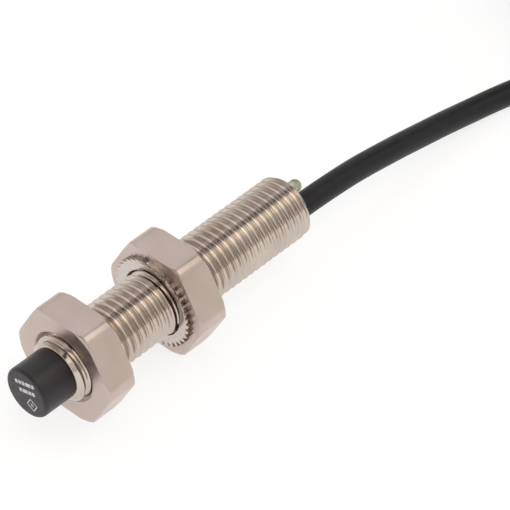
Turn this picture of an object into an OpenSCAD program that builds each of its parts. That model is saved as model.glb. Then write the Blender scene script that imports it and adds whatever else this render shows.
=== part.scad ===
// Cylindrical M8 x 1 inductive proximity sensor with a moulded cable.
// The sensor lies along X on the flats of its two nuts, sensing face at the origin.
// Millimetres. +X runs from the sensing face to the cable, +Z is up.

/* [Threaded barrel] */
// Major diameter of the mounting thread
thread_d = 8; // [7.8:0.1:8.2]
// Pitch of the mounting thread
pitch = 1; // [0.75:0.05:1]
// Length of the threaded metal barrel
barrel_length = 36.7; // [30:0.1:60]
// Diameter of the bore that holds the electronics
barrel_bore_d = 6; // [5.8:0.1:6.2]
// Length of the chamfer on each end of the barrel
barrel_chamfer = 0.35; // [0.2:0.05:0.5]
// Radial depth of that chamfer
chamfer_depth = 0.5; // [0.3:0.05:0.6]

/* [Sensing cap] */
// Diameter of the plastic cap where it stands out of the barrel
cap_d = 6.3; // [6.2:0.1:6.6]
// Length of cap that stands out in front of the barrel
cap_length = 4.4; // [4:0.1:6]
// Radius of the rounded front edge
cap_edge_r = 0.5; // [0.3:0.1:0.6]

/* [Nuts] */
// Width across the flats of a nut
nut_af = 13; // [12:0.1:14]
// Thickness of a nut
nut_t = 4; // [3:0.1:5]
// Diameter to which the corners of a nut are turned
nut_corner_d = 14.6; // [14.2:0.1:15]
// Diameter of the circle where a nut's face chamfer starts
nut_face_d = 13.7; // [13.2:0.1:14]
// Distance from the sensing face to the front nut
front_nut_x = 5.6; // [5.4:0.1:8]
// Distance from the sensing face to the rear nut
rear_nut_x = 19.8; // [18:0.1:24]

/* [Lock washer] */
// Outside diameter over the teeth
washer_d = 11.5; // [11:0.1:13]
// Inside diameter
washer_bore_d = 8.4; // [8.4:0.1:8.8]
// Thickness of the flat ring
washer_t = 0.4; // [0.3:0.1:0.6]
// Thickness over the twisted teeth
washer_tooth_t = 0.65; // [0.6:0.05:0.8]
// Number of teeth
washer_teeth = 38; // [30:1:38]

/* [Cable] */
// Outside diameter of the cable jacket
cable_d = 3; // [2.8:0.1:3.1]
// Diameter of each insulated wire in the cable
wire_d = 0.9; // [0.8:0.05:0.95]
// Length of bare wire ends beyond the jacket
lead_length = 40; // [30:1:40]
// Length of the straight part of a hank's run
hank_run = 50; // [45:1:60]
// Layers of cable in the hank
hank_layers = 6; // [4:1:6]

/* [Electronics] */
// Roll of the circuit board about the sensor's axis
board_roll = 36; // [30:1:42]
// Width of the circuit board
board_w = 5.4; // [5:0.1:5.4]
// Thickness of the circuit board
board_t = 0.6; // [0.4:0.1:0.6]
// Diameter of the light pipe at the rear
light_pipe_d = 1.6; // [1.2:0.1:1.6]

/* [Hidden] */
$fn = 96;

// Thread form
thread_r = thread_d / 2;
thread_depth = 0.6134 * pitch;
crest_gap = 0.875 * pitch;
root_flat = crest_gap - 2 * thread_depth * tan(30);
barrel_x0 = cap_length;
barrel_x1 = barrel_x0 + barrel_length;
grooves = floor((barrel_length - 2 * barrel_chamfer + pitch - crest_gap) / pitch);
first_groove = barrel_x0 + (barrel_length - (grooves - 1) * pitch) / 2;
bore_r = barrel_bore_d / 2;

// Nuts lie on their flats, so the surface under the sensor is half a nut below the axis
floor_z = -nut_af / 2;
nut_clearance = 0.05;
nut_bore_r = thread_r + nut_clearance;
countersink = 0.45;
chamfer_slope = tan(30);

// Washer teeth
tooth_twist = 45;
tooth_t = 0.8 * washer_t;
tooth_w = (washer_tooth_t - tooth_t * cos(tooth_twist)) / sin(tooth_twist);
tooth_length = 0.8;
tooth_root = 0.2;
washer_gap = 0.02;

// Sensing end
cap_wall = 0.4;
cap_front = 0.5;
cap_spigot = 3;
core_r = bore_r - cap_wall - 0.1;
core_wall = 0.4;
core_post_r = 0.9;
core_x1 = 3.2;
window_x1 = 2.5;
bobbin_wall = 0.2;
lead_y = 0.38;
lead_z = 1.55;
coil_wire_r = 0.08;

// Board, in its own rolled frame: y is up from its component face, z is across it
board_x0 = 8.4;
board_x1 = 33.6;
face = board_t / 2;
pocket_gap = 0.02;
led_w = 1.3;
led_h = 1.1;
led_l = 1;
led_x0 = board_x1 - led_l - 0.2;
led_room = 0.05;
chip_x = 12.2;
transistor_x = 23.6;
diode_x = 28.2;
chip_part_l = 1.6;
chip_part_w = 0.8;
chip_end_l = 0.3;
chip_end_proud = 0.03;
resistor_h = 0.45;
capacitor_h = 0.7;
coil_pad_x = 9.3;

// Rear end
plug_x0 = 34.6;
light_pipe_y = 1.2;
light_pipe_z = 1.72;
light_pipe_x0 = 33.5;
light_pipe_proud = 1.4;
cable_r = cable_d / 2;
wire_r = wire_d / 2;
cable_y = -1.05;
jacket_x0 = 33.9;
sleeve_r = cable_r + 0.25;
sleeve_length = 1.8;
bundle_r = 0.58;
jacket_wall = cable_r - bundle_r - wire_r - 0.02;
pad_x = 29.9;
pad_z = 1.6;
wire_bend_x0 = 31.8;
solder_r = 0.5;

// Hank of spare cable, beyond the visible run
tie_t = 0.5;
tie_w = 5;
hank_x0 = 104;
hank_x1 = hank_x0 + hank_run;
hank_y = 1;
turn_in_r = 9;
turn_out_r = turn_in_r + cable_d;
hank_z0 = floor_z + tie_t;
hank_h = hank_layers * cable_d;
lead_x1 = 145;
lead_pitch = wire_d + 0.05;
tip_r = 0.3;
tip_length = 5;

// Route of the cable from the rear of the sensor to the hank, hand-placed
route = [[barrel_x1, -0.85, -0.62], [44, -0.85, -0.62], [48, -0.85, -0.8], [52, -0.8, -1.2],
    [56, -0.8, -1.8], [60, -0.8, -2.5], [64, -0.8, -3.3], [68, -0.9, -4], [72, -1.2, -4.6],
    [76, -1.8, -4.9], [80, -2.8, -5], [85, -4.6, -5], [90, -6.8, -5], [95, -8.9, -4.9],
    [100, -10.5, -4.6], [hank_x0, hank_y - turn_out_r, hank_z0 + cable_r]];

// A cylinder along X
module rod(x0, x1, r) {
    translate([x0, 0, 0]) rotate([0, 90, 0]) cylinder(h = x1 - x0, r = r);
}

// A round tube along X
module pipe(x0, x1, outer, inner) {
    difference() {
        rod(x0, x1, outer);
        rod(x0 - 1, x1 + 1, inner);
    }
}

// Turns an outline of [radius, x] points about the X axis
module turned(outline) {
    rotate([0, 90, 0]) rotate_extrude() polygon(outline);
}

// A box from one corner to the opposite one
module block(low, high) {
    translate(low) cube(high - low);
}

// Places children in the board's rolled frame
module on_board() {
    rotate([board_roll, 0, 0]) children();
}

function unit(v) = v / norm(v);
function heading(p, i) = unit(p[min(i + 1, len(p) - 1)] - p[max(i - 1, 0)]);

// Corners of one ring of a tube, square to the way its points run. The first ring faces -X.
function ring(p, i, r, sides) =
    let (along = i == 0 ? [1, 0, 0] : heading(p, i))
    let (across = unit(cross([0, 0, 1], along)))
    let (upward = cross(along, across))
    [for (k = [0 : sides - 1]) let (turn = k * 360 / sides) p[i] + r * (cos(turn) * upward + sin(turn) * across)];

// A tube of the given number of sides that follows a list of points
module swept(p, r, sides) {
    rings = len(p);
    corners = [for (i = [0 : rings - 1]) each ring(p, i, r, sides)];
    walls = [for (i = [0 : rings - 2], k = [0 : sides - 1])
        let (a = i * sides + k, b = i * sides + (k + 1) % sides)
        each [[a, b, b + sides], [a, b + sides, a + sides]]];
    first = [for (k = [sides - 1 : -1 : 0]) k];
    last = [for (k = [0 : sides - 1]) (rings - 1) * sides + k];
    polyhedron(corners, concat(walls, [first, last]));
}

// ---- Housing ----

function groove(x) = [
    [thread_r, x - crest_gap / 2],
    [thread_r - thread_depth, x - root_flat / 2],
    [thread_r - thread_depth, x + root_flat / 2],
    [thread_r, x + crest_gap / 2]];

module barrel() {
    color("silver") turned(concat(
        [[bore_r, barrel_x0]],
        [[thread_r - chamfer_depth, barrel_x0], [thread_r, barrel_x0 + barrel_chamfer]],
        [for (i = [0 : grooves - 1]) each groove(first_groove + i * pitch)],
        [[thread_r, barrel_x1 - barrel_chamfer], [thread_r - chamfer_depth, barrel_x1]],
        [[bore_r, barrel_x1]]));
}

module sensing_cap() {
    color("#2b2729") difference() {
        union() {
            rod(cap_edge_r, barrel_x0, cap_d / 2);
            rod(0, barrel_x0, cap_d / 2 - cap_edge_r);
            rotate([0, 90, 0]) rotate_extrude()
                translate([cap_d / 2 - cap_edge_r, cap_edge_r]) circle(r = cap_edge_r, $fn = 48);
            rod(barrel_x0 - 1, barrel_x0 + cap_spigot, bore_r);
        }
        rod(cap_front, barrel_x0 + cap_spigot + 1, bore_r - cap_wall);
    }
}

// ---- Sensing coil ----

// Ways through the core and the bobbin for the two ends of the winding
module lead_ways() {
    on_board() for (side = [-1, 1])
        block([1.9, lead_y - 0.25, side * lead_z - 0.3],
            [core_x1 + 0.1, lead_y + 0.25, side * lead_z + 0.3]);
}

module ferrite_core() {
    color("dimgray") difference() {
        rod(cap_front, core_x1, core_r);
        difference() {
            rod(cap_front - 1, window_x1, core_r - core_wall);
            rod(cap_front - 2, window_x1 + 1, core_post_r);
        }
        lead_ways();
    }
}

module coil_bobbin() {
    color("ivory") difference() {
        union() {
            rod(cap_front, window_x1, core_post_r + bobbin_wall);
            rod(cap_front, cap_front + bobbin_wall, core_r - core_wall);
            rod(window_x1 - bobbin_wall, window_x1, core_r - core_wall);
        }
        rod(0, core_x1, core_post_r);
        lead_ways();
    }
}

module sensing_coil() {
    color("#b5651d") pipe(cap_front + bobbin_wall, window_x1 - bobbin_wall,
        core_r - core_wall - 0.1, core_post_r + bobbin_wall);
}

module coil_leads() {
    color("#b5651d") on_board() for (side = [-1, 1])
        translate([0, lead_y, side * lead_z])
            rod(window_x1 - bobbin_wall, coil_pad_x, coil_wire_r, $fn = 24);
}

// ---- Circuit board ----

module circuit_board() {
    color("darkgreen") on_board()
        block([board_x0, -face, -board_w / 2], [board_x1, face, board_w / 2]);
}

// A surface-mounted package: its body, and rows of legs along both long sides
module package(x0, length, width, height, legs, leg_pitch) {
    block([x0, face + 0.1, -width / 2], [x0 + length, face + height, width / 2]);
    for (i = [0 : legs - 1], side = [-1, 1])
        translate([x0 + length / 2 + (i - (legs - 1) / 2) * leg_pitch, face + 0.15, side * width / 2])
            cube([0.3, 0.3, 0.9], center = true);
}

// A chip resistor or capacitor with its two metal ends, standing on one face of the board
module chip_part(x, z, height, up = 1) {
    half_w = chip_part_w / 2;
    mirror([0, up < 0 ? 1 : 0, 0]) {
        block([x, face, z - half_w], [x + chip_part_l, face + height, z + half_w]);
        for (end = [x, x + chip_part_l - chip_end_l])
            block([end, face, z - half_w - chip_end_proud],
                [end + chip_end_l, face + height + chip_end_proud, z + half_w + chip_end_proud]);
    }
}

module oscillator_chip() {
    color("#202020") on_board() package(chip_x, 3.2, 2.4, 0.9, 4, 0.8);
}

module output_transistor() {
    color("#202020") on_board() package(transistor_x, 2.9, 1.3, 1.1, 2, 1.9);
}

module resistors() {
    color("#1a1a22") on_board() {
        for (x = [17, 19.6], z = [-1, 1]) chip_part(x, z, resistor_h);
        for (x = [13, 16]) chip_part(x, 0, resistor_h, -1);
    }
}

module capacitors() {
    color("#b39a6e") on_board() {
        for (z = [-0.9, 0.9]) chip_part(9.8, z, capacitor_h);
        chip_part(20, 0, capacitor_h, -1);
    }
}

module protection_diode() {
    color("#303030") on_board() package(diode_x, 1.7, 1.3, 0.9, 1, 1);
}

module solder_joints() {
    color("lightgray") on_board() {
        for (z = [-pad_z, 0, pad_z]) translate([pad_x, -face, z])
            rotate([90, 0, 0]) cylinder(h = 0.7, r = solder_r, $fn = 32);
        for (z = [-lead_z, lead_z]) translate([coil_pad_x + 0.3, face, z])
            rotate([-90, 0, 0]) cylinder(h = 0.25, r = 0.3, $fn = 32);
    }
}

module status_led() {
    color("lemonchiffon") on_board()
        block([led_x0, face, light_pipe_z - led_w / 2],
            [led_x0 + led_l, face + led_h, light_pipe_z + led_w / 2]);
}

// ---- Rear end ----

module light_pipe() {
    r = light_pipe_d / 2;
    color("honeydew", 0.7) on_board() translate([0, light_pipe_y, light_pipe_z]) {
        rod(light_pipe_x0, barrel_x1 + light_pipe_proud, r);
        translate([barrel_x1 + light_pipe_proud, 0, 0]) sphere(r = r);
    }
}

module rear_plug() {
    color("#1d1b1d") on_board() difference() {
        rod(plug_x0, barrel_x1, bore_r);
        translate([0, cable_y, 0]) rod(plug_x0 - 1, barrel_x1 + 1, cable_r);
        translate([0, cable_y, 0]) rod(plug_x0 - 1, plug_x0 + sleeve_length, sleeve_r);
        translate([0, light_pipe_y, light_pipe_z]) rod(plug_x0 - 1, barrel_x1 + 1, light_pipe_d / 2);
    }
}

module strain_relief_sleeve() {
    color("goldenrod") on_board() translate([0, cable_y, 0])
        pipe(plug_x0, plug_x0 + sleeve_length, sleeve_r, cable_r);
}

module jacket_end() {
    color("#232124") on_board() translate([0, cable_y, 0])
        pipe(jacket_x0, barrel_x1, cable_r, cable_r - jacket_wall);
}

// One wire from the cable to its pad: where it lies in the cable, and its pad's place
module inner_wire(turn, z) {
    in_cable = [cable_y + bundle_r * cos(turn), bundle_r * sin(turn)];
    rest_y = -face - wire_r;
    on_board() swept([[pad_x + solder_r, rest_y, z], [wire_bend_x0, rest_y, z],
        [jacket_x0, in_cable.x, in_cable.y], [barrel_x1, in_cable.x, in_cable.y]], wire_r, 12);
}

module wire_brown() {
    color("saddlebrown") inner_wire(60, pad_z);
}

module wire_blue() {
    color("royalblue") inner_wire(-60, -pad_z);
}

module wire_black() {
    color("#151515") inner_wire(180, 0);
}

// Resin that fills the barrel round the board. The room for the parts is a few plain pockets.
module potting_resin() {
    color("#4a3f2a") difference() {
        union() {
            rod(core_x1, barrel_x0 + cap_spigot, bore_r - cap_wall);
            rod(barrel_x0 + cap_spigot, plug_x0, bore_r);
        }
        on_board() {
            block([board_x0 - pocket_gap, -face - pocket_gap, -board_w / 2 - pocket_gap],
                [plug_x0 + 1, face + pocket_gap, board_w / 2 + pocket_gap]);
            block([board_x0 - pocket_gap, -1.1, -1.9], [plug_x0 + 1, 1.6, 1.9]);
            block([pad_x - 0.7, -1.3, -2.15], [plug_x0 + 1, 0, 2.15]);
            block([31.4, -2.2, -1.1], [plug_x0 + 1, 0, 1.1]);
            translate([0, cable_y, 0]) rod(jacket_x0 - 0.1, plug_x0 + 1, cable_r);
            block([led_x0 - led_room, 0, light_pipe_z - led_w / 2 - led_room],
                [plug_x0 + 1, face + led_h + led_room, light_pipe_z + led_w / 2 + led_room]);
            translate([0, light_pipe_y, light_pipe_z])
                rod(light_pipe_x0 - 0.1, plug_x0 + 1, light_pipe_d / 2);
            for (side = [-1, 1]) translate([0, lead_y, side * lead_z])
                rod(core_x1 - 1, coil_pad_x, coil_wire_r + pocket_gap, $fn = 24);
        }
    }
}

// ---- Nuts and washer ----

// A hexagon nut whose corners are turned and whose two faces are chamfered at 30 degrees
module nut(x) {
    corner_r = nut_corner_d / 2;
    face_r = nut_face_d / 2;
    fall = (corner_r - face_r) * chamfer_slope;
    color("silver") difference() {
        intersection() {
            translate([x, 0, 0]) rotate([30, 0, 0]) rotate([0, 90, 0])
                cylinder(h = nut_t, r = nut_af / 2 / cos(30), $fn = 6);
            turned([[0, x], [face_r, x], [corner_r, x + fall], [corner_r, x + nut_t - fall],
                [face_r, x + nut_t], [0, x + nut_t]]);
        }
        rod(x - 1, x + nut_t + 1, nut_bore_r);
        for (side = [-1, 1]) translate([x + nut_t / 2, 0, 0]) mirror([side < 0 ? 1 : 0, 0, 0])
            turned([[0, nut_t / 2 - countersink], [nut_bore_r, nut_t / 2 - countersink],
                [nut_bore_r + countersink, nut_t / 2], [nut_bore_r + countersink, nut_t / 2 + 1],
                [0, nut_t / 2 + 1]]);
    }
}

module front_nut() {
    nut(front_nut_x);
}

module rear_nut() {
    nut(rear_nut_x);
}

module lock_washer() {
    ring_r = washer_d / 2 - tooth_length;
    mid_x = rear_nut_x - washer_gap - washer_tooth_t / 2;
    color("gainsboro") {
        pipe(mid_x - washer_t / 2, mid_x + washer_t / 2, ring_r, washer_bore_d / 2);
        for (i = [0 : washer_teeth - 1])
            rotate([(i + 0.5) * 360 / washer_teeth, 0, 0]) translate([mid_x, ring_r - tooth_root, 0])
                rotate([0, tooth_twist, 0]) translate([-tooth_t / 2, 0, -tooth_w / 2])
                cube([tooth_t, tooth_length + tooth_root, tooth_w]);
    }
}

// ---- Free cable ----

module cable_run() {
    color("#232124") swept(route, cable_r, 8);
}

// The outline of the hank: a long loop with round ends
module loop_block(r, z0, z1) {
    for (x = [hank_x0, hank_x1]) translate([x, hank_y, z0]) cylinder(h = z1 - z0, r = r);
    block([hank_x0, hank_y - r, z0], [hank_x1, hank_y + r, z1]);
}

module cable_hank() {
    outer_r = turn_out_r + cable_r;
    top = hank_z0 + hank_h;
    color("#232124") difference() {
        loop_block(outer_r, hank_z0, top);
        loop_block(turn_in_r - cable_r, hank_z0 - 1, top + 1);
        block([hank_x0, hank_y + turn_out_r - cable_r, top - cable_d],
            [lead_x1, hank_y + outer_r + 1, top + 1]);
    }
}

module hank_tie() {
    half_w = turn_out_r + cable_r;
    mid_x = (hank_x0 + hank_x1) / 2;
    color("#3a3a3a") difference() {
        block([mid_x - tie_w / 2, hank_y - half_w - tie_t, floor_z],
            [mid_x + tie_w / 2, hank_y + half_w + tie_t, hank_z0 + hank_h + tie_t]);
        block([mid_x - tie_w, hank_y - half_w, hank_z0],
            [mid_x + tie_w, hank_y + half_w, hank_z0 + hank_h]);
    }
}

// One wire end that lies on the hank, side by side with the other two
module loose_lead(place, x0, x1, r) {
    translate([0, hank_y + turn_out_r + place * lead_pitch, hank_z0 + hank_h - cable_d + wire_r])
        rod(x0, x1, r, $fn = 32);
}

module lead_brown() {
    color("saddlebrown") loose_lead(-1, lead_x1 - lead_length + tip_length, lead_x1, wire_r);
}

module lead_blue() {
    color("royalblue") loose_lead(0, lead_x1 - lead_length + tip_length, lead_x1, wire_r);
}

module lead_black() {
    color("#151515") loose_lead(1, lead_x1 - lead_length + tip_length, lead_x1, wire_r);
}

module lead_tips() {
    color("lightgray") for (place = [-1, 0, 1])
        loose_lead(place, lead_x1 - lead_length, lead_x1 - lead_length + tip_length, tip_r);
}

barrel();
sensing_cap();
ferrite_core();
coil_bobbin();
sensing_coil();
coil_leads();
circuit_board();
oscillator_chip();
output_transistor();
resistors();
capacitors();
protection_diode();
solder_joints();
status_led();
light_pipe();
rear_plug();
strain_relief_sleeve();
jacket_end();
wire_brown();
wire_blue();
wire_black();
potting_resin();
front_nut();
lock_washer();
rear_nut();
cable_run();
cable_hank();
hank_tie();
lead_brown();
lead_blue();
lead_black();
lead_tips();
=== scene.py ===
import math
import random

import bmesh
import bpy
from mathutils import Matrix, Vector


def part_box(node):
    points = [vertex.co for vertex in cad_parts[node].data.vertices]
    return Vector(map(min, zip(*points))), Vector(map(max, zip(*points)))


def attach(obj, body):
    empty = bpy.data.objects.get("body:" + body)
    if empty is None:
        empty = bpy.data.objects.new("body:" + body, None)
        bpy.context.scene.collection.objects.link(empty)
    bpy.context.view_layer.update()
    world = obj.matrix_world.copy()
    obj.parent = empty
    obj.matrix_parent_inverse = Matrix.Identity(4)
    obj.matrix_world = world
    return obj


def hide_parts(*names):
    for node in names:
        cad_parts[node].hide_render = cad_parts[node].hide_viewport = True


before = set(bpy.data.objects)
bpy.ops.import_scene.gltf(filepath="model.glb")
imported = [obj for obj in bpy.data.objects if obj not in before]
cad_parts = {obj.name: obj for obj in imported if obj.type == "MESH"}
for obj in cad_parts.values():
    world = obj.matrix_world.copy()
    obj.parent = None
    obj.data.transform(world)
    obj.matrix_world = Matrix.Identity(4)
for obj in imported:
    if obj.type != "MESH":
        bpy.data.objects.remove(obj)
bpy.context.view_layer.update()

# The sensor lies along X, sensing face at the origin, cable towards +X. Sizes here are in
# millimetres and are turned into metres where a mesh or curve is made.
MM = 0.001
TURN = 2 * math.pi
# Points closer than this become one, and an outline that ends on the axis stays this far off it
WELD = 0.0005
AXIS_R = 0.001


def span(node):
    """Lowest and highest corner of a CAD node, in millimetres."""
    low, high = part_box(node)
    return low / MM, high / MM


BARREL_LOW, BARREL_HIGH = span("barrel")
CAP_LOW, CAP_HIGH = span("sensing_cap")
FRONT_NUT_LOW, FRONT_NUT_HIGH = span("front_nut")
REAR_NUT_LOW, REAR_NUT_HIGH = span("rear_nut")
WASHER_LOW, WASHER_HIGH = span("lock_washer")
HANK_LOW, HANK_HIGH = span("cable_hank")
TIE_LOW, TIE_HIGH = span("hank_tie")

BARREL_X0 = BARREL_LOW.x
BARREL_X1 = BARREL_HIGH.x
FLOOR_Z = FRONT_NUT_LOW.z

# Thread. The middle of a groove passes GROOVE_X where the turn is GROOVE_TURN.
PITCH = 1.0
THREAD_R = 4.0
THREAD_DEPTH = 0.45
BORE_R = 3.0
GROOVE_X = 5.25
GROOVE_TURN = math.radians(130)

# Nuts
NUT_FLAT_R = 6.5
NUT_CORNER_R = 7.3
NUT_FACE_R = 6.85
NUT_BORE_R = 4.05
NUT_THREAD_GAP = 0.06
COUNTERSINK = 0.45

# Washer
WASHER_TEETH = 38
WASHER_BORE_R = 4.2
WASHER_RING_R = 5.2
WASHER_R = 5.75
WASHER_T = 0.4

# Cable, its way from the plug to the hank, and the hank's straight sides and turns
CABLE_D = 3.0
CABLE_R = CABLE_D / 2
WIRE_R = 0.45
ROUTE = [(41.1, -0.85, -0.62), (44, -0.85, -0.62), (48, -0.85, -0.8), (52, -0.8, -1.2),
         (56, -0.8, -1.8), (60, -0.8, -2.5), (64, -0.8, -3.3), (68, -0.9, -4), (72, -1.2, -4.6),
         (76, -1.8, -4.9), (80, -2.8, -5), (85, -4.6, -5), (90, -6.8, -5), (95, -8.9, -4.9),
         (100, -10.5, -4.6), (104, -11, -4.5)]
HANK_X0 = 104
HANK_X1 = 154
HANK_Y = 1
HANK_LAYERS = 6
TURN_IN_R = 9
TURN_OUT_R = 12
HANK_END_X = 145
ARC_STEPS = 14
SIDE_STEPS = 8


# ---- Camera ----

CAMERA_AT = Vector((-155.155, -186.781, 243.126))
CAMERA_RIGHT = Vector((0.68722227, -0.72622633, -0.01791268))
CAMERA_UP = Vector((0.50247954, 0.45739562, 0.73369174))
LENS = 224.45


def make_camera():
    """The camera of the photo, as fitted to the sensor's outline."""
    data = bpy.data.cameras.new("camera")
    data.sensor_width = 36
    data.lens = LENS
    data.clip_start = 0.01
    data.clip_end = 20
    camera = bpy.data.objects.new("camera", data)
    back = CAMERA_RIGHT.cross(CAMERA_UP)
    turn = Matrix((CAMERA_RIGHT, CAMERA_UP, back)).transposed()
    camera.matrix_world = Matrix.Translation(CAMERA_AT * MM) @ turn.to_4x4()
    bpy.context.scene.collection.objects.link(camera)
    bpy.context.scene.camera = camera


make_camera()


# ---- Materials ----

def new_material(name, colour, roughness, metallic=0.0):
    """A Principled material and its node tree, with the values that are the same all over."""
    made = bpy.data.materials.new(name)
    made.use_nodes = True
    tree = made.node_tree
    shader = tree.nodes["Principled BSDF"]
    shader.inputs["Base Color"].default_value = (*colour, 1)
    shader.inputs["Roughness"].default_value = roughness
    shader.inputs["Metallic"].default_value = metallic
    return made, tree, shader


def noise(tree, scale, detail=3.0, rough=0.5):
    """Noise fixed to the object's own coordinates. Scale is in features per metre."""
    where = tree.nodes.new("ShaderNodeTexCoord")
    made = tree.nodes.new("ShaderNodeTexNoise")
    made.inputs["Scale"].default_value = scale
    made.inputs["Detail"].default_value = detail
    made.inputs["Roughness"].default_value = rough
    tree.links.new(where.outputs["Object"], made.inputs["Vector"])
    return made.outputs["Fac"]


def ramp(tree, value, stops):
    """A colour ramp from (position, colour) stops."""
    made = tree.nodes.new("ShaderNodeValToRGB")
    band = made.color_ramp
    while len(band.elements) < len(stops):
        band.elements.new(0.5)
    for element, (position, colour) in zip(band.elements, stops):
        element.position = position
        element.color = (*colour, 1)
    tree.links.new(value, made.inputs["Fac"])
    return made.outputs["Color"]


def value_range(tree, value, low, high, from_low=0.3, from_high=0.7):
    """The value, stretched from one range to another and kept inside it."""
    made = tree.nodes.new("ShaderNodeMapRange")
    made.inputs["From Min"].default_value = from_low
    made.inputs["From Max"].default_value = from_high
    made.inputs["To Min"].default_value = low
    made.inputs["To Max"].default_value = high
    tree.links.new(value, made.inputs["Value"])
    return made.outputs["Result"]


def bump(tree, shader, height, distance):
    """Surface relief from a height, with its depth in millimetres."""
    made = tree.nodes.new("ShaderNodeBump")
    made.inputs["Distance"].default_value = distance * MM
    made.inputs["Strength"].default_value = 1.0
    tree.links.new(height, made.inputs["Height"])
    tree.links.new(made.outputs["Normal"], shader.inputs["Normal"])


def mottled(name, dark, light, scale, roughness, metallic=0.0, *, grain, grain_scale):
    """Colour that drifts between two tones, roughness that drifts with it, and a fine grain."""
    made, tree, shader = new_material(name, light, roughness[1], metallic)
    drift = noise(tree, scale)
    colour = ramp(tree, drift, [(0.3, dark), (0.7, light)])
    tree.links.new(colour, shader.inputs["Base Color"])
    tree.links.new(value_range(tree, drift, *roughness), shader.inputs["Roughness"])
    bump(tree, shader, noise(tree, grain_scale, 4), grain)
    return made


def nickel(name, dark, light, roughness, grain):
    """Satin nickel plate: faint warm patches, fine pits and handling marks."""
    made, tree, shader = new_material(name, light, roughness[1], 1.0)
    patches = noise(tree, 260, 2)
    tree.links.new(ramp(tree, patches, [(0.3, dark), (0.7, light)]), shader.inputs["Base Color"])
    wear = noise(tree, 1800, 4, 0.65)
    tree.links.new(value_range(tree, wear, *roughness), shader.inputs["Roughness"])
    bump(tree, shader, noise(tree, 3500, 4, 0.6), grain)
    return made


def cable_black():
    """Soft PVC with a faint sheen and scuffs along its length."""
    made, tree, shader = new_material("cable_black", (0.009, 0.0085, 0.0095), 0.46)
    shader.inputs["Specular IOR Level"].default_value = 0.3
    scuffs = noise(tree, 500, 3)
    colour = ramp(tree, scuffs, [(0.35, (0.006, 0.0055, 0.007)), (0.75, (0.014, 0.0128, 0.0155))])
    tree.links.new(colour, shader.inputs["Base Color"])
    tree.links.new(value_range(tree, scuffs, 0.4, 0.52), shader.inputs["Roughness"])
    bump(tree, shader, noise(tree, 2200, 4), 0.012)
    return made


def washer_steel():
    """Nickel-plated spring steel with fine specks."""
    made, tree, shader = new_material("washer_steel", (0.62, 0.56, 0.52), 0.16, 1.0)
    specks = noise(tree, 2600, 3, 0.6)
    colour = ramp(tree, specks, [(0.35, (0.56, 0.5, 0.47)), (0.65, (0.66, 0.59, 0.55))])
    tree.links.new(colour, shader.inputs["Base Color"])
    tree.links.new(value_range(tree, specks, 0.2, 0.13), shader.inputs["Roughness"])
    bump(tree, shader, specks, 0.003)
    return made


def clear_resin():
    """Clear moulded light guide with a faint green tint."""
    made, tree, shader = new_material("clear_guide", (0.7, 0.7, 0.6), 0.08)
    shader.inputs["Transmission Weight"].default_value = 0.6
    shader.inputs["IOR"].default_value = 1.49
    flow = noise(tree, 900, 2)
    colour = ramp(tree, flow, [(0.4, (0.36, 0.34, 0.2)), (0.6, (0.82, 0.82, 0.74))])
    tree.links.new(colour, shader.inputs["Base Color"])
    bump(tree, shader, flow, 0.01)
    return made


def wound_copper():
    """Enamelled wire laid turn on turn."""
    made, tree, shader = new_material("wound_copper", (0.5, 0.2, 0.08), 0.3, 1.0)
    turns = tree.nodes.new("ShaderNodeTexWave")
    turns.inputs["Scale"].default_value = 2000
    where = tree.nodes.new("ShaderNodeTexCoord")
    tree.links.new(where.outputs["Object"], turns.inputs["Vector"])
    colour = ramp(tree, turns.outputs["Fac"], [(0.1, (0.22, 0.07, 0.03)), (0.8, (0.62, 0.26, 0.1))])
    tree.links.new(colour, shader.inputs["Base Color"])
    bump(tree, shader, turns.outputs["Fac"], 0.04)
    return made


BARREL_NICKEL = nickel("barrel_nickel", (0.53, 0.455, 0.4), (0.6, 0.53, 0.47), (0.1, 0.17), 0.003)
NUT_NICKEL = nickel("nut_nickel", (0.55, 0.45, 0.4), (0.6, 0.5, 0.45), (0.3, 0.4), 0.003)
WASHER_STEEL = washer_steel()
CAP_BLACK = mottled("cap_black", (0.012, 0.0085, 0.0105), (0.02, 0.0145, 0.018), 900,
                    (0.36, 0.5), grain=0.01, grain_scale=4000)
PLUG_BLACK = mottled("plug_black", (0.012, 0.011, 0.012), (0.024, 0.022, 0.022), 700,
                     (0.4, 0.6), grain=0.02, grain_scale=2500)
WHITE_INK = mottled("white_ink", (0.5, 0.5, 0.5), (0.78, 0.78, 0.78), 3000,
                    (0.5, 0.7), grain=0.004, grain_scale=6000)
CABLE_BLACK = cable_black()
TIE_BLACK = mottled("tie_black", (0.03, 0.03, 0.032), (0.06, 0.06, 0.062), 600,
                    (0.35, 0.5), grain=0.02, grain_scale=2000)
BROWN_WIRE = mottled("brown_wire", (0.14, 0.05, 0.02), (0.2, 0.08, 0.035), 500,
                     (0.35, 0.45), grain=0.008, grain_scale=2500)
BLUE_WIRE = mottled("blue_wire", (0.02, 0.08, 0.32), (0.03, 0.13, 0.45), 500,
                    (0.35, 0.45), grain=0.008, grain_scale=2500)
BLACK_WIRE = mottled("black_wire", (0.01, 0.01, 0.011), (0.022, 0.022, 0.024), 500,
                     (0.35, 0.45), grain=0.008, grain_scale=2500)
TINNED = mottled("tinned_copper", (0.5, 0.5, 0.5), (0.75, 0.75, 0.76), 1500,
                 (0.2, 0.4), 1.0, grain=0.01, grain_scale=3000)
CLEAR_GUIDE = clear_resin()
WOUND_COPPER = wound_copper()
FERRITE = mottled("ferrite_grey", (0.035, 0.035, 0.038), (0.07, 0.07, 0.075), 1500,
                  (0.5, 0.7), grain=0.01, grain_scale=5000)
BOBBIN_IVORY = mottled("bobbin_ivory", (0.6, 0.55, 0.42), (0.7, 0.66, 0.53), 700,
                       (0.35, 0.45), grain=0.006, grain_scale=3000)
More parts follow.
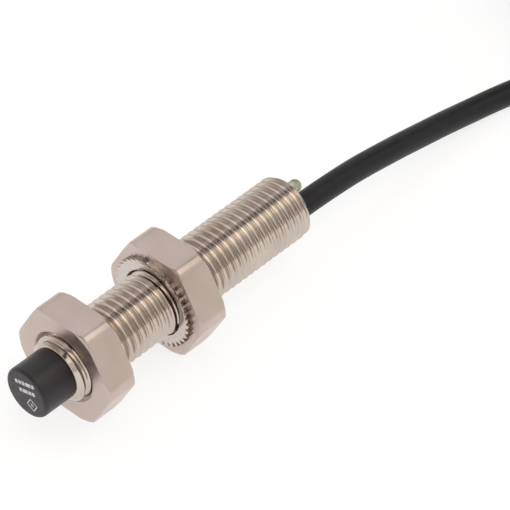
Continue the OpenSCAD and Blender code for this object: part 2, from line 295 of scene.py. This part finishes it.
BOARD_GREEN = mottled("board_green", (0.01, 0.09, 0.035), (0.02, 0.15, 0.06), 1200,
                      (0.25, 0.4), grain=0.012, grain_scale=2500)
CHIP_BLACK = mottled("chip_black", (0.014, 0.014, 0.014), (0.03, 0.03, 0.03), 2500,
                     (0.45, 0.6), grain=0.01, grain_scale=6000)
RESISTOR_BLACK = mottled("resistor_black", (0.01, 0.01, 0.014), (0.03, 0.03, 0.04), 2000,
                         (0.2, 0.35), grain=0.006, grain_scale=5000)
CAPACITOR_TAN = mottled("capacitor_tan", (0.3, 0.19, 0.1), (0.42, 0.29, 0.17), 2000,
                        (0.3, 0.45), grain=0.006, grain_scale=5000)
LED_WHITE = mottled("led_white", (0.6, 0.55, 0.35), (0.75, 0.72, 0.55), 1500,
                    (0.15, 0.3), grain=0.004, grain_scale=3000)
SLEEVE_BRASS = mottled("sleeve_brass", (0.5, 0.36, 0.14), (0.65, 0.48, 0.22), 800,
                       (0.2, 0.35), 1.0, grain=0.01, grain_scale=3000)
RESIN_BROWN = mottled("resin_brown", (0.07, 0.045, 0.02), (0.11, 0.075, 0.035), 600,
                      (0.15, 0.3), grain=0.02, grain_scale=1500)

CAD_MATERIALS = {
    "ferrite_core": FERRITE,
    "coil_bobbin": BOBBIN_IVORY,
    "sensing_coil": WOUND_COPPER,
    "coil_leads": WOUND_COPPER,
    "circuit_board": BOARD_GREEN,
    "oscillator_chip": CHIP_BLACK,
    "output_transistor": CHIP_BLACK,
    "protection_diode": CHIP_BLACK,
    "resistors": RESISTOR_BLACK,
    "capacitors": CAPACITOR_TAN,
    "solder_joints": TINNED,
    "status_led": LED_WHITE,
    "strain_relief_sleeve": SLEEVE_BRASS,
    "rear_plug": PLUG_BLACK,
    "jacket_end": CABLE_BLACK,
    "wire_brown": BROWN_WIRE,
    "wire_blue": BLUE_WIRE,
    "wire_black": BLACK_WIRE,
    "potting_resin": RESIN_BROWN,
}


def paint_cad():
    """Give the nodes that keep their CAD shapes their materials."""
    for node, material in CAD_MATERIALS.items():
        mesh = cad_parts[node].data
        mesh.materials.clear()
        mesh.materials.append(material)


paint_cad()


# ---- Mesh helpers ----

def polar(x, r, turn):
    """A point at radius r round the sensor's axis, turned from +Y towards +Z."""
    return (x, r * math.cos(turn), r * math.sin(turn))


def add_piece(name, points, faces, material, body, crease=35):
    """A mesh from points in millimetres, welded, with edges sharper than crease left sharp."""
    mesh = bpy.data.meshes.new(name)
    mesh.from_pydata([Vector(p) * MM for p in points], [], faces)
    work = bmesh.new()
    work.from_mesh(mesh)
    bmesh.ops.remove_doubles(work, verts=work.verts, dist=WELD * MM)
    bmesh.ops.dissolve_degenerate(work, edges=work.edges, dist=WELD * MM)
    bmesh.ops.recalc_face_normals(work, faces=work.faces)
    work.to_mesh(mesh)
    work.free()
    mesh.materials.append(material)
    mesh.shade_smooth()
    mesh.set_sharp_from_angle(angle=math.radians(crease))
    made = bpy.data.objects.new(name, mesh)
    bpy.context.scene.collection.objects.link(made)
    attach(made, body)
    return made


def skin(columns, around=True):
    """Points and faces of a surface over equal closed columns of points. The row of columns is
    closed too if it goes around."""
    count = len(columns[0])
    points = [p for column in columns for p in column]
    faces = []
    for i in range(len(columns) if around else len(columns) - 1):
        first = i * count
        second = (i + 1) % len(columns) * count
        for j in range(count):
            k = (j + 1) % count
            faces.append((first + j, second + j, second + k, first + k))
    return points, faces


def capped(columns):
    """A skin over a row of columns, with a face at each end of the row."""
    points, faces = skin(columns, around=False)
    count = len(columns[0])
    faces.append(tuple(range(count)))
    faces.append(tuple(len(points) - 1 - i for i in range(count)))
    return points, faces


def join(points, faces, more_points, more_faces):
    """Add a part to the points and faces of a mesh that is being put together."""
    start = len(points)
    points += more_points
    faces += [tuple(start + i for i in face) for face in more_faces]


def turned(outline, steps=96):
    """A closed outline of (x, r) points turned about the axis."""
    columns = [[polar(x, r, TURN * i / steps) for x, r in outline] for i in range(steps)]
    return skin(columns)


def rounded(outline, radius, steps=4):
    """An open (x, r) outline whose inner corners are arcs of about that radius."""
    made = [outline[0]]
    for before, corner, after in zip(outline, outline[1:], outline[2:]):
        a, b, c = Vector(before), Vector(corner), Vector(after)
        reach = min(radius, (a - b).length / 2.2, (c - b).length / 2.2)
        start = b + (a - b).normalized() * reach if reach > 1e-6 else b
        end = b + (c - b).normalized() * reach if reach > 1e-6 else b
        for i in range(steps + 1):
            t = i / steps
            made.append(tuple(start * (1 - t) ** 2 + b * 2 * t * (1 - t) + end * t ** 2))
    made.append(outline[-1])
    return made


# Points across one groove of the thread, and how much wider its root is than its crest
GROOVE_STEPS = 16
ROOT_WIDENING = 1.6


def groove_height(distance):
    """Height above the root at a distance, in pitches, from the middle of a groove."""
    return THREAD_DEPTH * (1 - math.cos(math.pi * (2 * distance) ** ROOT_WIDENING)) / 2


def barrel_thread(x, turn):
    """Radius of the barrel's right-hand thread. A nut's thread follows it with a gap."""
    place = (x - GROOVE_X) / PITCH - (turn - GROOVE_TURN) / TURN
    return THREAD_R - THREAD_DEPTH + groove_height(abs(place - round(place)))


def thread_places(x0, x1, turn):
    """Places along X between x0 and x1 where a thread's outline has its points at this turn."""
    start = GROOVE_X + PITCH * (turn - GROOVE_TURN) / TURN
    first = math.floor((x0 - GROOVE_X) / PITCH) - 2
    count = math.ceil((x1 - x0) / PITCH) + 5
    for k in range(count * GROOVE_STEPS):
        yield min(x1, max(x0, start + PITCH * (first + k / GROOVE_STEPS)))


# ---- Cable ----

def smooth_step(t):
    """From 0 to 1 as t does, with a level start and end."""
    t = min(1.0, max(0.0, t))
    return t * t * (3 - 2 * t)


def spline_through(points, steps):
    """Points on a smooth line through the given ones."""
    line = [Vector(p) for p in points]
    line = [2 * line[0] - line[1]] + line + [2 * line[-1] - line[-2]]
    made = []
    for a, b, c, d in zip(line, line[1:], line[2:], line[3:]):
        for i in range(steps):
            t = i / steps
            made.append(0.5 * (2 * b + (c - a) * t + (2 * a - 5 * b + 4 * c - d) * t ** 2
                               + (3 * b - a - 3 * c + d) * t ** 3))
    made.append(line[-2])
    return made


def straight(x0, x1, y, z):
    """Points between two places along X, without the ends."""
    return [Vector((x0 + (x1 - x0) * i / SIDE_STEPS, y, z)) for i in range(1, SIDE_STEPS)]


def hank_line():
    """Centreline of the hank: six layers of two turns, inside or outside first by turns. A layer's
    first turn ends by changing radius, and its last by rising to the next layer."""
    z = HANK_LOW.z + CABLE_R
    made = []
    radius = TURN_OUT_R
    rng = random.Random(8)
    for layer in range(HANK_LAYERS):
        for last in (False, True):
            far_x = HANK_X1 + rng.uniform(-0.6, 0)
            made += straight(HANK_X0, far_x, HANK_Y - radius, z)
            for i in range(ARC_STEPS + 1):
                a = math.pi * i / ARC_STEPS
                made.append(Vector((far_x + radius * math.sin(a), HANK_Y - radius * math.cos(a), z)))
            if last and layer == HANK_LAYERS - 1:
                made.append(Vector((HANK_END_X, HANK_Y + radius, z)))
                return made
            made += straight(far_x, HANK_X0, HANK_Y + radius, z)
            new_radius = radius if last else TURN_IN_R + TURN_OUT_R - radius
            rise = CABLE_D if last else 0
            for i in range(ARC_STEPS + 1):
                a = math.pi * i / ARC_STEPS
                half = a / (math.pi / 2)
                r = radius + (new_radius - radius) * smooth_step(half)
                up = rise * smooth_step(half - 1)
                made.append(Vector((HANK_X0 - r * math.sin(a), HANK_Y + r * math.cos(a), z + up)))
            radius = new_radius
            z += rise
    return made


def line_length(line):
    """Length of a line of points."""
    return sum((b - a).length for a, b in zip(line, line[1:]))


def tube_curve(name, line, radius, material, body, sides=5):
    """A round tube along a line of points in millimetres."""
    data = bpy.data.curves.new(name, "CURVE")
    data.dimensions = "3D"
    data.bevel_depth = radius * MM
    data.bevel_resolution = sides
    data.use_fill_caps = True
    spline = data.splines.new("POLY")
    spline.points.add(len(line) - 1)
    for point, place in zip(spline.points, line):
        point.co = (*(place * MM), 1)
    spline.use_smooth = True
    data.materials.append(material)
    made = bpy.data.objects.new(name, data)
    bpy.context.scene.collection.objects.link(made)
    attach(made, body)
    return made


def make_cable():
    """The jacket in one piece, from inside the plug to its cut end, and its length in metres."""
    line = spline_through(ROUTE, 4) + hank_line()
    cable = tube_curve("cable", line, CABLE_R, CABLE_BLACK, "sensor")
    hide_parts("cable_run", "cable_hank")
    return cable, line_length(line) * MM


cable, cable_length = make_cable()


# ---- Wire ends ----

# Colour, material, slot, and the wire's place round the middle of the jacket in degrees
LEADS = [("brown", BROWN_WIRE, "insulation_brown", 210), ("blue", BLUE_WIRE, "insulation_blue", 330),
         ("black", BLACK_WIRE, "insulation_black", 90)]
LEAD_STEPS = 24
DROP_START = 0.04
DROP_SHARE = 0.4
BUNDLE_R = 0.5
LEAD_START_X = HANK_END_X + 2
STRIP_LENGTH = 5
STRAND_R = 0.1
STRAND_HIDDEN = 1
STRAND_STEPS = 12
STRAND_SIDES = 8
STRAND_TWIST = math.radians(50)


def lead_line(node, turn):
    """From inside the jacket's end down onto the layer below, then along it."""
    low, high = span(node)
    y0 = HANK_Y + TURN_OUT_R + BUNDLE_R * math.cos(turn)
    z0 = HANK_HIGH.z - CABLE_R + BUNDLE_R * math.sin(turn)
    y1 = (low.y + high.y) / 2
    z1 = (low.z + high.z) / 2
    line = []
    for i in range(LEAD_STEPS + 1):
        t = i / LEAD_STEPS
        x = LEAD_START_X + (low.x - LEAD_START_X) * t
        s = smooth_step((t - DROP_START) / DROP_SHARE)
        line.append(Vector((x, y0 + (y1 - y0) * s, z0 + (z1 - z0) * s)))
    return line


def strand_centres():
    """Seven strands: one in the middle and six round it."""
    reach = 2 * STRAND_R
    turns = [TURN * i / 6 for i in range(6)]
    return [(0, 0)] + [(reach * math.cos(turn), reach * math.sin(turn)) for turn in turns]


def strand(end, centre):
    """Points and faces of one strand, twisted round the middle of the wire that ends here."""
    circle = [TURN * k / STRAND_SIDES for k in range(STRAND_SIDES)]
    columns = []
    for i in range(STRAND_STEPS + 1):
        x = end.x + STRAND_HIDDEN - (STRIP_LENGTH + STRAND_HIDDEN) * i / STRAND_STEPS
        twist = STRAND_TWIST * i
        y = end.y + centre[0] * math.cos(twist) - centre[1] * math.sin(twist)
        z = end.z + centre[0] * math.sin(twist) + centre[1] * math.cos(twist)
        columns.append([(x, y + STRAND_R * math.cos(turn), z + STRAND_R * math.sin(turn))
                        for turn in circle])
    return capped(columns)


def make_leads():
    """The three wires past the jacket's end, and their bare strands as one piece."""
    made = []
    points, faces = [], []
    for colour, material, slot, turn in LEADS:
        node = "lead_" + colour
        line = lead_line(node, math.radians(turn))
        lead = tube_curve("lead_wire_" + colour, line, WIRE_R, material, "sensor", 3)
        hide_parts(node)
        made.append(lead)
        for centre in strand_centres():
            join(points, faces, *strand(line[-1], centre))
    tips = add_piece("lead_strands", points, faces, TINNED, "sensor")
    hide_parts("lead_tips")
    made.append(tips)
    return made


# ---- Tie ----

def make_tie():
    """A strap round the middle of the hank, with rounded corners."""
    strap_t = 0.5
    edge = 0.1
    corner_steps = 8
    corner = CABLE_R + strap_t
    half_y = (TIE_HIGH.y - TIE_LOW.y) / 2
    half_z = (TIE_HIGH.z - TIE_LOW.z) / 2
    mid = (TIE_LOW + TIE_HIGH) / 2
    half_x = (TIE_HIGH.x - TIE_LOW.x) / 2
    columns = []
    for quarter in range(4):
        for i in range(corner_steps + 1):
            a = math.pi / 2 * (quarter + i / corner_steps)
            sy = 1 if quarter in (0, 3) else -1
            sz = 1 if quarter in (0, 1) else -1
            column = []
            for r, x in [(corner - strap_t, -half_x), (corner - edge, -half_x), (corner, edge - half_x),
                         (corner, half_x - edge), (corner - edge, half_x), (corner - strap_t, half_x)]:
                column.append((mid.x + x, mid.y + sy * (half_y - corner) + r * math.cos(a),
                               mid.z + sz * (half_z - corner) + r * math.sin(a)))
            columns.append(column)
    points, faces = skin(columns)
    tie = add_piece("tie_strap", points, faces, TIE_BLACK, "sensor", 30)
    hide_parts("hank_tie")
    return tie


leads = make_leads()
tie = make_tie()


# ---- Barrel ----

FRONT_CHAMFER_R = 3.42
FRONT_CHAMFER_X = 0.55
REAR_CHAMFER_R = 3.7
REAR_CHAMFER_X = 0.3
BARREL_STEPS = 120


def barrel_radius(x, turn):
    """The thread, cut by the chamfers at both ends."""
    front = FRONT_CHAMFER_R + (x - BARREL_X0) * (THREAD_R - FRONT_CHAMFER_R) / FRONT_CHAMFER_X
    rear = REAR_CHAMFER_R + (BARREL_X1 - x) * (THREAD_R - REAR_CHAMFER_R) / REAR_CHAMFER_X
    return min(barrel_thread(x, turn), front, rear)


def make_barrel():
    """The tube, its outside threaded from chamfer to chamfer."""
    edge = 0.06
    columns = []
    for i in range(BARREL_STEPS + 1):
        turn = TURN * i / BARREL_STEPS
        column = [(BARREL_X0, BORE_R), (BARREL_X0, FRONT_CHAMFER_R - edge)]
        for x in thread_places(BARREL_X0 + edge, BARREL_X1 - edge, turn):
            column.append((x, barrel_radius(x, turn)))
        column += [(BARREL_X1, REAR_CHAMFER_R - edge), (BARREL_X1, BORE_R)]
        columns.append([polar(x, r, turn) for x, r in column])
    points, faces = skin(columns, around=False)
    barrel = add_piece("barrel_body", points, faces, BARREL_NICKEL, "sensor", 40)
    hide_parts("barrel")


make_barrel()


# ---- Nuts ----

SIXTH = TURN / 6
# Columns of points on a flat and on a corner
FLAT_STEPS = 7
CORNER_STEPS = 4
EDGE_ROUNDING = 0.2


def hexagon_r(turn):
    """Radius of the nut's side at this turn. Flats face up and down, and the corners are turned."""
    off = turn % SIXTH - SIXTH / 2
    return min(NUT_CORNER_R, NUT_FLAT_R / math.cos(off))


def nut_turns():
    """Turns at which the nut has a column of points, with one on each edge of a corner."""
    edge = math.acos(NUT_FLAT_R / NUT_CORNER_R)
    across_flat = [edge * (i / FLAT_STEPS) for i in range(-FLAT_STEPS, FLAT_STEPS + 1)]
    across_corner = [edge + (SIXTH - 2 * edge) * i / CORNER_STEPS for i in range(1, CORNER_STEPS)]
    one = across_flat + across_corner
    return [SIXTH / 2 + SIXTH * k + a for k in range(6) for a in one]


def nut_outline(x0, x1, r):
    """The outside of the nut in one plane, from one countersink to the other."""
    face = min(NUT_FACE_R, r - 0.01)
    fall = (r - face) * math.tan(math.radians(30))
    sunk_r = NUT_BORE_R + COUNTERSINK
    outline = [(x0, sunk_r), (x0, face), (x0 + fall, r), (x1 - fall, r), (x1, face), (x1, sunk_r)]
    return rounded(outline, EDGE_ROUNDING)


def make_nut(name, x0, x1, body, node):
    """A chamfered hexagon nut between two places along X, threaded to follow the barrel."""
    columns = []
    turns = nut_turns()
    for turn in [*turns, turns[0] + TURN]:
        column = [polar(x, r, turn) for x, r in nut_outline(x0, x1, hexagon_r(turn))]
        for x in reversed(list(thread_places(x0, x1, turn))):
            sunk = NUT_BORE_R + COUNTERSINK - min(x - x0, x1 - x)
            column.append(polar(x, max(barrel_thread(x, turn) + NUT_THREAD_GAP, sunk), turn))
        columns.append(column)
    points, faces = skin(columns, around=False)
    nut = add_piece(name, points, faces, NUT_NICKEL, body, 26)
    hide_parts(node)


make_nut("front_nut_body", FRONT_NUT_LOW.x, FRONT_NUT_HIGH.x, "front_nut", "front_nut")
make_nut("rear_nut_body", REAR_NUT_LOW.x, REAR_NUT_HIGH.x, "rear_nut", "rear_nut")


# ---- Lock washer ----

TOOTH_ROOT_R = WASHER_RING_R - 0.15
TOOTH_SHARE = 0.98
TOOTH_STEPS = 4
TOOTH_TAPER = 0.9
# How far a tooth's tip and root lie behind the ring's face, where it starts and where it ends
TIP_BACK = (-0.03, 0.12)
ROOT_BACK = (0.02, 0.07)


def washer_tooth(start, step, flat_x, back_x):
    """One tooth, bent towards the nut. Its tip and its highest side are where it starts."""
    columns = []
    for i in range(TOOTH_STEPS + 1):
        t = i / TOOTH_STEPS
        turn = start + step * TOOTH_SHARE * t
        tip_r = WASHER_RING_R + (WASHER_R - WASHER_RING_R) * (1 - TOOTH_TAPER * t)
        tip_x = flat_x + TIP_BACK[0] + (TIP_BACK[1] - TIP_BACK[0]) * t
        root_x = flat_x + ROOT_BACK[0] + (ROOT_BACK[1] - ROOT_BACK[0]) * t
        columns.append([polar(root_x, TOOTH_ROOT_R, turn), polar(root_x, WASHER_RING_R, turn),
                        polar(tip_x, tip_r, turn), polar(back_x, tip_r, turn),
                        polar(back_x, TOOTH_ROOT_R, turn)])
    return capped(columns)


def make_washer():
    """A flat ring with sharp teeth round it."""
    mid_x = (WASHER_LOW.x + WASHER_HIGH.x) / 2
    front = mid_x - WASHER_T / 2
    back = mid_x + WASHER_T / 2
    outline = rounded([(back, WASHER_BORE_R), (front, WASHER_BORE_R), (front, WASHER_RING_R),
                       (back, WASHER_RING_R), (back, WASHER_BORE_R)], 0.08)[:-1]
    points, faces = turned(outline, WASHER_TEETH * 4)
    step = TURN / WASHER_TEETH
    for tooth in range(WASHER_TEETH):
        join(points, faces, *washer_tooth(step * tooth, step, front, WASHER_HIGH.x))
    washer = add_piece("toothed_washer", points, faces, WASHER_STEEL, "lock_washer", 30)
    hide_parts("lock_washer")


make_washer()


# ---- Sensing cap and its print ----

def make_cap():
    """A thin cup whose edge steps down into the barrel."""
    r = CAP_HIGH.z
    wall = 0.4
    face_t = 0.5
    outline = rounded([(CAP_LOW.x, AXIS_R), (CAP_LOW.x, r), (BARREL_X0, r), (BARREL_X0, BORE_R),
                       (CAP_HIGH.x, BORE_R)], 0.5, 8)
    outline += [(CAP_HIGH.x, BORE_R - wall), (CAP_LOW.x + face_t, BORE_R - wall),
                (CAP_LOW.x + face_t, AXIS_R)]
    points, faces = turned(outline)
    cap = add_piece("cap_moulding", points, faces, CAP_BLACK, "sensor", 40)
    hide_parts("sensing_cap")


PRINT_TILT = math.radians(15)
PRINT_RIGHT = Vector((-math.cos(PRINT_TILT), math.sin(PRINT_TILT)))
PRINT_UP = Vector((math.sin(PRINT_TILT), math.cos(PRINT_TILT)))
INK_T = 0.012
SYMBOL_AT = Vector((-0.87, -1.1))
SYMBOL_SIZE = 0.8
SYMBOL_LINE = 0.12
BAR_AT = 0.12
BAR_HALF = 0.26
BAR_LINE = 0.09
# Rows of blocks: the middle as (y, z), the blocks' lengths and their height
BLOCK_ROWS = [(Vector((0.11, 1.48)), (0.42, 0.42, 0.42, 0.84, 0.42), 0.5),
              (Vector((-0.22, 0.47)), (0.42, 0.84, 0.42, 0.42), 0.5)]
BLOCK_GAP = 0.14


def print_bar(start, end, width):
    """Corners, as (y, z), of a bar of ink between two points of the face."""
    along = (end - start).normalized()
    across = Vector((-along.y, along.x)) * width / 2
    return [start - across, end - across, end + across, start + across]


def symbol_bars():
    """A diamond with two upright bars in it, as on any proximity sensor."""
    corners = [PRINT_RIGHT * SYMBOL_SIZE, PRINT_UP * SYMBOL_SIZE,
               -PRINT_RIGHT * SYMBOL_SIZE, -PRINT_UP * SYMBOL_SIZE]
    bars = []
    for a, b in zip(corners, corners[1:] + corners[:1]):
        bars.append(print_bar(SYMBOL_AT + a, SYMBOL_AT + b, SYMBOL_LINE))
    for side in (-BAR_AT, BAR_AT):
        middle = SYMBOL_AT + PRINT_RIGHT * side
        bars.append(print_bar(middle - PRINT_UP * BAR_HALF, middle + PRINT_UP * BAR_HALF, BAR_LINE))
    return bars


def block_bars():
    """Rows of plain blocks where the printed characters would be."""
    bars = []
    for middle, blocks, height in BLOCK_ROWS:
        place = -(sum(blocks) + BLOCK_GAP * (len(blocks) - 1)) / 2
        for length in blocks:
            bars.append(print_bar(middle + PRINT_RIGHT * place,
                                  middle + PRINT_RIGHT * (place + length), height))
            place += length + BLOCK_GAP
    return bars


def make_print():
    """The print, as thin blocks of ink let into the cap's face."""
    points, faces = [], []
    for bar in symbol_bars() + block_bars():
        corners = [(x, p.x, p.y) for x in (-INK_T, INK_T) for p in bar]
        sides = [(i, (i + 1) % 4, 4 + (i + 1) % 4, 4 + i) for i in range(4)]
        join(points, faces, corners, [(0, 1, 2, 3), *sides])
    add_piece("face_print", points, faces, WHITE_INK, "sensor", 30)


make_cap()
make_print()


# ---- Light pipe ----

DOME_STEPS = 12
PIPE_SIDES = 32


def make_light_pipe():
    """A clear rod with a domed end, beside the cable."""
    low, high = span("light_pipe")
    middle = (low + high) / 2
    r = (high.y - low.y) / 2
    dome_x = high.x - r
    edge = 0.05
    outline = [(low.x, AXIS_R), (low.x, r - edge), (low.x + edge, r)]
    for i in range(DOME_STEPS + 1):
        a = math.pi / 2 * i / DOME_STEPS
        outline.append((dome_x + r * math.sin(a), max(AXIS_R, r * math.cos(a))))
    columns = []
    for i in range(PIPE_SIDES):
        turn = TURN * i / PIPE_SIDES
        columns.append([(x, middle.y + q * math.cos(turn), middle.z + q * math.sin(turn))
                        for x, q in outline])
    points, faces = skin(columns)
    pipe = add_piece("light_guide", points, faces, CLEAR_GUIDE, "sensor", 40)
    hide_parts("light_pipe")


make_light_pipe()


# ---- Floor and light ----

FLOOR_SIZE = 3000
FLOOR_GLOW = 0.78

# The tent's colours from the horizon up
TENT = [(0.0, (0.72, 0.69, 0.64)), (0.3, (0.8, 0.77, 0.74)), (0.7, (0.9, 0.9, 0.92)),
        (1.0, (0.95, 0.95, 0.97))]
# Strips along X: middle, inner and outer half-width in degrees from overhead, and colour
TENT_STRIPS = [(-27, 9, 16, (1.32, 1.23, 1.07)),
               (2, 7.5, 14, (0.05, 0.04, 0.04))]
# Dimmer patches ahead of the sensor: direction, inner and outer angle in degrees, and colour
TENT_PATCHES = [((-0.5, -0.85, 0.1), 14, 36, (0.34, 0.29, 0.23)),
                ((-0.66, 0.5, 0.5), 8, 28, (0.4, 0.34, 0.29))]


def make_floor():
    """A large pale sheet that glows a little, so that it stays white round the sensor."""
    corners = [(-1, -1), (1, -1), (1, 1), (-1, 1)]
    points = [Vector((x * FLOOR_SIZE, y * FLOOR_SIZE, FLOOR_Z)) * MM for x, y in corners]
    mesh = bpy.data.meshes.new("floor")
    mesh.from_pydata(points, [], [(0, 1, 2, 3)])
    material, tree, shader = new_material("floor_white", (0.28, 0.28, 0.28), 0.8)
    shade = ramp(tree, noise(tree, 4, 2), [(0.3, (0.27, 0.27, 0.27)), (0.7, (0.29, 0.29, 0.29))])
    tree.links.new(shade, shader.inputs["Base Color"])
    shader.inputs["Emission Color"].default_value = (1, 1, 1, 1)
    shader.inputs["Emission Strength"].default_value = FLOOR_GLOW
    mesh.materials.append(material)
    floor = bpy.data.objects.new("floor", mesh)
    bpy.context.scene.collection.objects.link(floor)


def soft_light(name, towards, distance, size, power):
    """An area light in a direction from the middle of the sensor, facing it."""
    data = bpy.data.lights.new(name, "AREA")
    data.shape = "RECTANGLE"
    data.size, data.size_y = size
    data.energy = power
    lamp = bpy.data.objects.new(name, data)
    middle = Vector((0.02, 0, 0))
    away = Vector(towards).normalized()
    turn = away.to_track_quat("Z", "Y").to_matrix().to_4x4()
    lamp.matrix_world = Matrix.Translation(middle + away * distance) @ turn
    bpy.context.scene.collection.objects.link(lamp)


def strip(tree, lean, middle, inner, outer):
    """How much a direction lies in a strip of the tent that runs along X. Angles from overhead."""
    off = tree.nodes.new("ShaderNodeMath")
    off.operation = "SUBTRACT"
    off.inputs[1].default_value = math.radians(middle)
    tree.links.new(lean, off.inputs[0])
    size = tree.nodes.new("ShaderNodeMath")
    size.operation = "ABSOLUTE"
    tree.links.new(off.outputs["Value"], size.inputs[0])
    return value_range(tree, size.outputs["Value"], 1, 0, math.radians(inner), math.radians(outer))


def blended(tree, share, shade, tint):
    """A shade that gives way to a plain tint."""
    blend = tree.nodes.new("ShaderNodeMix")
    blend.data_type = "RGBA"
    tree.links.new(share, blend.inputs["Factor"])
    tree.links.new(shade, blend.inputs["A"])
    blend.inputs["B"].default_value = (*tint, 1)
    return blend.outputs["Result"]


def make_world():
    """A pale tent of panels that run along X, with a dark gap overhead and a bright panel beside it."""
    world = bpy.data.worlds.new("tent")
    world.use_nodes = True
    tree = world.node_tree
    where = tree.nodes.new("ShaderNodeTexCoord")
    parts = tree.nodes.new("ShaderNodeSeparateXYZ")
    tree.links.new(where.outputs["Generated"], parts.inputs["Vector"])
    shade = ramp(tree, parts.outputs["Z"], TENT)
    lean = tree.nodes.new("ShaderNodeMath")
    lean.operation = "ARCTAN2"
    tree.links.new(parts.outputs["Y"], lean.inputs[0])
    tree.links.new(parts.outputs["Z"], lean.inputs[1])
    for middle, inner, outer, tint in TENT_STRIPS:
        share = strip(tree, lean.outputs["Value"], middle, inner, outer)
        shade = blended(tree, share, shade, tint)
    for towards, inner, outer, tint in TENT_PATCHES:
        nearness = tree.nodes.new("ShaderNodeVectorMath")
        nearness.operation = "DOT_PRODUCT"
        nearness.inputs[1].default_value = Vector(towards).normalized()
        tree.links.new(where.outputs["Generated"], nearness.inputs[0])
        share = value_range(tree, nearness.outputs["Value"], 0, 1,
                            math.cos(math.radians(outer)), math.cos(math.radians(inner)))
        shade = blended(tree, share, shade, tint)
    tree.links.new(shade, tree.nodes["Background"].inputs["Color"])
    bpy.context.scene.world = world


make_floor()
make_world()
soft_light("overhead", (0.1, -0.1, 1), 0.9, (0.8, 0.8), 1.2)
bpy.context.scene.view_settings.view_transform = "Standard"
